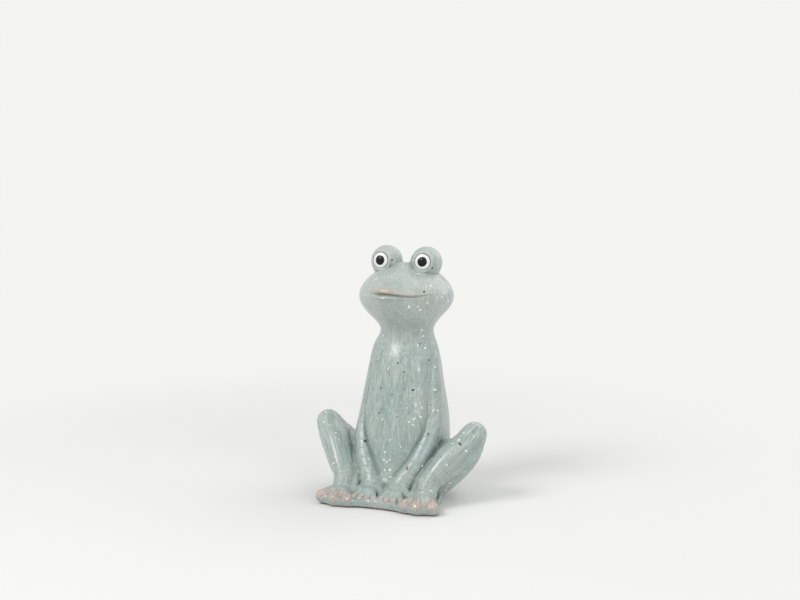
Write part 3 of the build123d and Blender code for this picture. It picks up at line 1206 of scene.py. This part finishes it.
def coat_all(objects, material):
    for item in objects:
        item.data.materials.clear()
        item.data.materials.append(material)


# Inputs of the scatter tree, in order: the surface, then the sizes and the seed
flake_inputs = [
    ("Flakes per square metre", "NodeSocketFloat"),
    ("Smallest radius", "NodeSocketFloat"),
    ("Largest radius", "NodeSocketFloat"),
    ("Thickness share", "NodeSocketFloat"),
    ("Raggedness", "NodeSocketFloat"),
    ("Seed", "NodeSocketInt"),
]


def scatter_tree(material):
    """A node tree that beds flat irregular flakes in a surface, by its flecks mark."""
    group = bpy.data.node_groups.new("scattered_flakes", "GeometryNodeTree")
    for label, kind in [("Surface", "NodeSocketGeometry")] + flake_inputs:
        group.interface.new_socket(label, in_out="INPUT", socket_type=kind)
    group.interface.new_socket("Flakes", in_out="OUTPUT", socket_type="NodeSocketGeometry")
    tree = Node_tree(group)
    surface = tree.node("NodeGroupInput", output="Surface")
    density, smallest, largest, thickness, raggedness, seed = [
        tree.beside(surface, label) for label, _ in flake_inputs
    ]
    mark = tree.node("GeometryNodeInputNamedAttribute", {"data_type": "FLOAT"}, {"Name": "flecks"})
    points = tree.node(
        "GeometryNodeDistributePointsOnFaces",
        {"distribute_method": "RANDOM"},
        {"Mesh": surface, "Density": mark * density, "Seed": seed},
        "Points",
    )

    def chance(low, high, seed_step):
        settings = {"data_type": "FLOAT"}
        return tree.node("FunctionNodeRandomValue", settings, {2: low, 3: high, 8: seed + seed_step}, 1)

    size = smallest + chance(0.0, 1.0, 1) ** 2.2 * (largest - smallest)
    stretch = chance(0.75, 1.5, 2)
    sizes = {"X": size * stretch, "Y": size / stretch, "Z": size * thickness}
    scale = tree.node("ShaderNodeCombineXYZ", None, sizes)
    spin = tree.node(
        "FunctionNodeAxisAngleToRotation", None, {"Axis": (0, 0, 1), "Angle": chance(0.0, 2 * pi, 3)}
    )
    turned = tree.node(
        "FunctionNodeRotateRotation",
        {"rotation_space": "LOCAL"},
        {"Rotation": tree.beside(points, "Rotation"), "Rotate By": spin},
    )
    flake = tree.node("GeometryNodeMeshIcoSphere", None, {"Radius": 1.0, "Subdivisions": 1})
    placed = tree.node(
        "GeometryNodeInstanceOnPoints",
        None,
        {"Points": points, "Instance": flake, "Rotation": turned, "Scale": scale},
    )
    real = tree.node("GeometryNodeRealizeInstances", None, {"Geometry": placed})
    noise = tree.node("ShaderNodeTexNoise", None, {"Scale": 1400.0, "Detail": 1.0}, "Color")
    noise = tree.node("ShaderNodeVectorMath", {"operation": "SUBTRACT"}, {0: noise, 1: (0.5, 0.5, 0.5)})
    shift = tree.node("ShaderNodeVectorMath", {"operation": "SCALE"}, {0: noise, "Scale": raggedness})
    ragged = tree.node("GeometryNodeSetPosition", None, {"Geometry": real, "Offset": shift})
    smooth = tree.node("GeometryNodeSetShadeSmooth", None, {"Geometry": ragged})
    coated = tree.node("GeometryNodeSetMaterial", None, {"Geometry": smooth, "Material": material})
    tree.node("NodeGroupOutput", None, {"Flakes": coated})
    return group


def scatter_flakes(name, places, faces, material, sizes):
    """A plain mesh of small flakes strewn over the frog, made by the scatter tree."""
    ground = bpy.data.meshes.new("fleck_ground")
    ground.from_pydata((places * millimetre).tolist(), [], faces.tolist())
    layer = ground.attributes.new("flecks", "FLOAT", "POINT")
    layer.data.foreach_set("value", fleck_mark(places))
    base = add_object("fleck_ground", ground)
    group = scatter_tree(material)
    modifier = base.modifiers.new("flakes", "NODES")
    modifier.node_group = group
    named_sizes = {label: size for (label, _), size in zip(flake_inputs, sizes)}
    for item in group.interface.items_tree:
        if item.in_out == "INPUT" and item.name in named_sizes:
            modifier[item.identifier] = named_sizes[item.name]
    evaluated = base.evaluated_get(bpy.context.evaluated_depsgraph_get())
    mesh = bpy.data.meshes.new_from_object(evaluated)
    mesh.name = name
    base.modifiers.remove(modifier)
    bpy.data.objects.remove(base)
    bpy.data.meshes.remove(ground)
    bpy.data.node_groups.remove(group)
    piece = add_object(name, mesh)
    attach(piece, "root")
    return piece


# Camera: where the photograph was taken from, in degrees, millimetres and pixels
camera_turn = 21.5
camera_rise = 10.6
camera_distance = 1300.0
focal_pixels = 1.022 * camera_distance
aim = np.array([0.0, 0.0, 120.0])
aim_pixel = (407.17, 368.87)
frame_width, frame_height = 800, 600


def make_camera():
    """Sets the camera up; gives its place and its directions right, up and ahead."""
    back = towards(camera_turn, camera_rise)
    right = towards(camera_turn + 90, 0)
    ahead = -back
    up = np.cross(right, ahead)
    turn = atan((aim_pixel[0] - frame_width / 2) / focal_pixels)
    tip = atan((aim_pixel[1] - frame_height / 2) / focal_pixels)
    ahead = ahead * cos(tip) + up * sin(tip)
    up = np.cross(right, ahead)
    ahead = ahead * cos(turn) - right * sin(turn)
    right = np.cross(ahead, up)
    place = aim + back * camera_distance + [0, axis_setback, 0]
    lens = bpy.data.cameras.new("photo_camera")
    lens.sensor_width = 36.0
    lens.sensor_fit = "HORIZONTAL"
    lens.lens = focal_pixels * lens.sensor_width / frame_width
    lens.clip_end = 100.0
    camera = add_object("photo_camera", lens)
    turned = Matrix((right, up, -ahead)).transposed().to_4x4()
    camera.matrix_world = Matrix.Translation(Vector(place * millimetre)) @ turned
    bpy.context.scene.camera = camera
    return place, right, up, ahead


eye_place, eye_right, eye_up, eye_ahead = make_camera()


def pixel_rays(pixels):
    """Directions from the camera through pixels of the photograph."""
    pixels = np.array(pixels, float)
    ways = (
        eye_ahead * focal_pixels
        + eye_right * (pixels[:, :1] - frame_width / 2)
        - eye_up * (pixels[:, 1:2] - frame_height / 2)
    )
    return directions(ways)


def hit_frog(pixels):
    """Points of the frog's surface seen at pixels of the photograph, and which were hit."""
    head_start = camera_distance - 160.0
    steps = 70
    share_of_field = 0.7
    longest_back, longest_on = -4, 12
    near_enough = 0.2
    ways = pixel_rays(pixels)
    travelled = np.full(len(ways), head_start)
    for _ in range(steps):
        points = eye_place + ways * travelled[:, None]
        travelled += np.clip(field(points) * share_of_field, longest_back, longest_on)
    points = eye_place + ways * travelled[:, None]
    return points, np.abs(field(points)) < near_enough


# Flakes seen in the photograph: pixel across, pixel down and rough radius in millimetres
black_speck_pixels = [
    (377, 361, 1.0), (398, 363, 1.2), (387, 368, 1.0), (404, 372, 1.1), (373, 388, 0.8),
    (381, 388, 1.3), (404, 389, 0.8), (413, 390, 1.6), (392, 395, 0.9), (373, 405, 0.6),
    (379, 413, 1.0), (373, 415, 0.6), (397, 417, 1.0), (409, 413, 0.7), (428, 434, 1.3),
    (429, 416, 0.9), (430, 405, 0.7), (365, 441, 1.9), (407, 468, 1.5), (420, 344, 1.0),
    (429, 360, 1.3), (419, 370, 0.9), (460, 444, 1.8), (473, 432, 0.8), (441, 457, 0.8),
    (392, 260, 1.3), (432, 268, 1.4), (424, 291.8, 1.5), (355, 407, 0.6), (449, 465, 0.6),
]
white_fleck_and_glint_pixels = [
    (409, 307, 2.0), (420, 310, 1.9), (422, 330, 1.4), (423, 336, 1.4), (425, 348, 1.6),
    (418, 345, 1.2), (435, 367, 1.3), (435, 390, 1.7), (407, 408, 1.0), (422, 408, 1.4),
    (421, 417, 1.5), (414, 419, 1.8), (409, 422, 1.3), (413, 425, 1.3), (390, 440, 1.0),
    (401, 447, 0.9), (385, 452, 1.3), (384, 460, 1.4), (387, 462, 1.2), (390, 470, 1.8),
    (324, 422, 1.3), (336, 433, 1.1), (334, 463, 1.2), (459, 440, 1.6), (466, 451, 1.7),
    (447, 465, 1.2), (450, 483, 1.4), (446, 490, 1.3), (431, 286, 1.5), (426, 287, 1.1),
    # The one at (383, 298), on the lower lip, and the six from (326, 496) on, on the toe tips, are
    # painted highlights: white flakes where glints fall
    (442, 297, 1.5), (448, 300, 1.6), (403, 267, 0.9), (383, 298, 1.2), (419, 370, 1.5),
    (326, 496, 1.2), (347, 499, 1.1), (353, 501, 0.9), (368, 501, 1.3), (404, 501, 1.1),
    (415, 506, 1.2),
]
flake_share = 0.78
# A flake's rings from the lowest up: size and height, as shares, then how deep its bottom lies,
# how uneven its outline is, and how many corners that has
flake_rings = ((1.0, -0.35), (0.92, 0.55), (0.5, 0.95))
flake_bottom = 0.5
flake_unevenness = 0.25
flake_corners = 9


def make_flakes(name, pixels, seed, height):
    """Small irregular flakes at named pixels, bedded in the surface: flecks of glaze, or white ones as
    painted highlights.
    """
    chance = np.random.default_rng(seed)
    points, found = hit_frog([pixel[:2] for pixel in pixels])
    points = points[found]
    sizes = np.array([pixel[2] for pixel in pixels])[found] * flake_share
    normals = directions(slopes(points, field(points)))
    mesh = bmesh.new()
    angles = np.arange(flake_corners) * 2 * pi / flake_corners
    for point, normal, size in zip(points, normals, sizes):
        centre = Vector(point)
        up = Vector(normal)
        across = up.orthogonal().normalized()
        other = up.cross(across)
        stretch = chance.uniform(0.9, 1.5)
        turn = chance.uniform(0, pi)
        rings = []
        for share, lift in flake_rings:
            ring = []
            for angle in angles:
                uneven = flake_unevenness * sin(3 * angle + turn * 5)
                radius = size * share * (1 + uneven * share)
                u = radius * stretch * cos(angle)
                v = radius / stretch * sin(angle)
                u, v = u * cos(turn) - v * sin(turn), u * sin(turn) + v * cos(turn)
                place = centre + across * u + other * v + up * lift * height
                ring.append(mesh.verts.new(place * millimetre))
            rings.append(ring)
        top = mesh.verts.new((centre + up * height) * millimetre)
        bottom = mesh.verts.new((centre - up * height * flake_bottom) * millimetre)
        for k in range(flake_corners):
            after = (k + 1) % flake_corners
            for low, high in zip(rings, rings[1:]):
                mesh.faces.new((low[k], low[after], high[after], high[k]))
            mesh.faces.new((rings[-1][k], rings[-1][after], top))
            mesh.faces.new((rings[0][after], rings[0][k], bottom))
    bmesh.ops.recalc_face_normals(mesh, faces=mesh.faces)
    piece = add_smooth(name, mesh)
    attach(piece, "root")
    return piece


# The floor's front edge, where it begins to bend up, the bend's radius, and the backdrop's top
floor_front = -3.0
floor_back = 1.6
bend_radius = 0.8
backdrop_top = 4.0
floor_half_width = 4.0
backdrop_colour = paint(244, 244, 241)
# Lamps: place and size in metres and power in watts, all turned to the frog's middle
lamps_aim = Vector((0, 0, 0.12))
lamps = [
    ("key_lamp", (-0.6, -0.9, 1.2), 0.6, 10.0),
    ("fill_lamp", (1.3, -0.9, 0.8), 1.0, 5.5),
    ("back_lamp", (0.7, 0.8, 1.1), 1.5, 8.0),
]


def straight_rays(tree):
    """1 for rays from the camera, off gloss and through glass, and 0 for others."""
    camera_ray = tree.node("ShaderNodeLightPath", output="Is Camera Ray")
    total = camera_ray
    for ray in ("Is Glossy Ray", "Is Transmission Ray"):
        total = total + tree.beside(camera_ray, ray)
    return total.maths("MINIMUM", total, 1.0)


def make_floor():
    """A plain pale floor that runs up into a backdrop, and far off shows its own pale colour."""
    mesh = bmesh.new()
    profile = [(floor_front, 0.0), (floor_back, 0.0)]
    turns = 12
    for k in range(1, turns + 1):
        angle = pi / 2 * k / turns
        profile.append((floor_back + bend_radius * sin(angle), bend_radius * (1 - cos(angle))))
    profile.append((floor_back + bend_radius, backdrop_top))
    left, right = [
        [mesh.verts.new((x, y, z)) for y, z in profile] for x in (-floor_half_width, floor_half_width)
    ]
    for k in range(len(profile) - 1):
        mesh.faces.new((left[k], right[k], right[k + 1], left[k + 1]))
    floor = add_smooth("studio_floor", mesh)
    finish = Finish("studio_floor")
    paper = finish.principled({"Base Color": paint(238, 238, 237), "Roughness": 0.8})
    pale = finish.node("ShaderNodeEmission", None, {"Color": backdrop_colour, "Strength": 1.0})
    places = finish.object_places()
    away = finish.node("ShaderNodeVectorMath", {"operation": "LENGTH"}, {0: places}, "Value")
    share = away.between(0.2, 0.75) * straight_rays(finish)
    shader = finish.node("ShaderNodeMixShader", None, {0: share, 1: paper, 2: pale})
    coat_all([floor], finish.surface(shader))


def light_room():
    """White light from all round, a pale wall where it is seen, and soft lamps."""
    world = bpy.data.worlds.new("studio_light")
    bpy.context.scene.world = world
    world.use_nodes = True
    room = Node_tree(world.node_tree)
    white = (1.0, 1.0, 1.0, 1.0)
    light = room.node("ShaderNodeBackground", None, {"Color": white, "Strength": 0.5})
    wall = room.node("ShaderNodeBackground", None, {"Color": backdrop_colour, "Strength": 1.0})
    chosen = room.node("ShaderNodeMixShader", None, {0: straight_rays(room), 1: light, 2: wall})
    room.node("ShaderNodeOutputWorld", None, {"Surface": chosen})
    for name, place, size, power in lamps:
        data = bpy.data.lights.new(name, "AREA")
        data.size = size
        data.energy = power
        lamp = add_object(name, data)
        turned = (lamps_aim - Vector(place)).to_track_quat("-Z", "Y").to_matrix().to_4x4()
        lamp.matrix_world = Matrix.Translation(Vector(place)) @ turned


def both_sides(node):
    """The CAD objects of a node's left and right."""
    return [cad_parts[f"{node}_{side}"] for side in ("left", "right")]


grid_step = 0.8
frog_pieces, frog_places, frog_faces = make_frog(grid_step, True)
coat_all(frog_pieces.values(), glaze())
eye_white_coat = {"Coat Weight": 0.4, "Coat Roughness": 0.08}
eye_white_colours = [(228, 232, 231), (243, 245, 244)]
eye_white = plain_glaze("eye_white_glaze", 260.0, eye_white_colours, 0.18, eye_white_coat)
coat_all(both_sides("eye_white"), eye_white)
coat_all(both_sides("pupil"), pupil_glaze())
coat_all([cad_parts["felt_pads"]], felt())

# Flakes: specks, flecks and white flakes as painted highlights at named pixels with a seed and a
# thickness in millimetres, then small ones strewn by chance, with the sizes that the scatter tree takes
flake_coat = {"Coat Weight": 0.3}
black_speck = plain_glaze("black_speck", 900.0, [(20, 23, 24), (52, 57, 57)], 0.3, flake_coat)
white_fleck_and_glint = plain_glaze("white_fleck_and_glint", 900.0, [(238, 240, 238), (250, 250, 248)], 0.25, flake_coat)
coat_all([make_flakes("black_specks", black_speck_pixels, 5, 0.18)], black_speck)
# White flakes, some of which are painted highlights on the toe tips and lower lip
coat_all([make_flakes("white_flecks_and_glints", white_fleck_and_glint_pixels, 9, 0.28)], white_fleck_and_glint)
for strewn_name, flake_material, flake_sizes in [
    ("strewn_white_flecks", white_fleck_and_glint, (12000.0, 0.0003, 0.0014, 0.3, 0.0006, 7)),
    ("strewn_black_specks", black_speck, (2600.0, 0.00025, 0.0008, 0.25, 0.0004, 21)),
]:
    scatter_flakes(strewn_name, frog_places, frog_faces, flake_material, flake_sizes)
make_floor()
light_room()

bpy.context.scene.view_settings.view_transform = "Standard"
